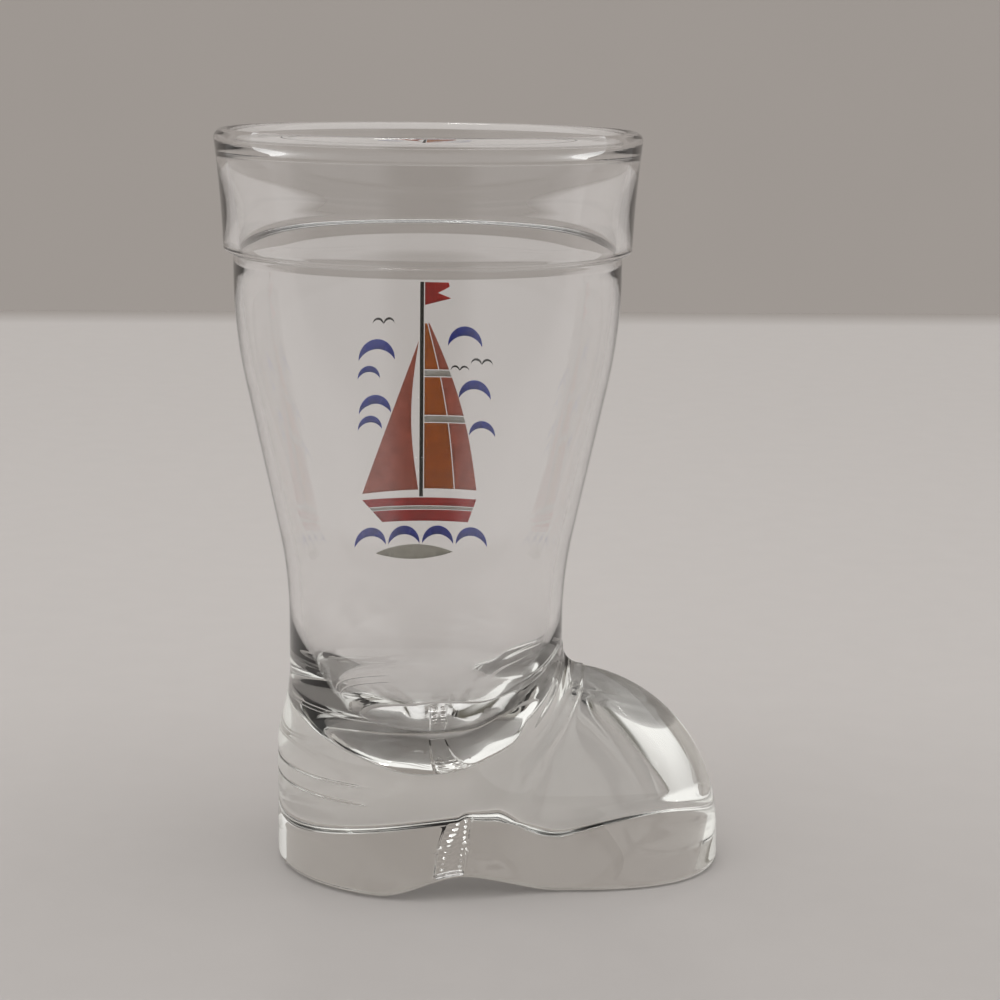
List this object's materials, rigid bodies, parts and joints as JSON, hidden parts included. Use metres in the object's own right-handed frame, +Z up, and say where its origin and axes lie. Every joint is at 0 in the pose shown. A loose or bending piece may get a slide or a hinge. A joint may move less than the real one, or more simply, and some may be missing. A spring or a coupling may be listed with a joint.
{
  "type": "boot shot glass",
  "caption": "Clear pressed shot glass shaped like a boot, with a cuffed rim, tapering shaft, solid foot and a fired colour print on one flank.",
  "frame": {"origin": "at table height, under the middle of the glass's box: the shaft's axis is 5 mm towards the heel", "axes": "+Z up along the shaft's axis, +X to the toe, +Y to the flank that carries the print"},
  "size_m": [0.0554, 0.0454, 0.08],
  "materials": {
    "glass": "clear fire-polished soda-lime glass",
    "ochre_ink": "fired enamel, satin gloss",
    "rose_ink": "fired enamel, satin gloss",
    "red_ink": "fired enamel, satin gloss",
    "blue_ink": "fired enamel, satin gloss",
    "black_ink": "fired enamel, satin gloss",
    "grey_ink": "fired enamel, satin gloss",
    "cream_ink": "fired enamel, satin gloss"
  },
  "bodies": {
    "root": {"glass_boot": "glass", "ink_ochre": "ochre_ink", "ink_rose": "rose_ink", "ink_red": "red_ink", "ink_blue": "blue_ink", "ink_black": "black_ink", "ink_grey": "grey_ink", "ink_cream": "cream_ink"}
  },
  "joints": []
}
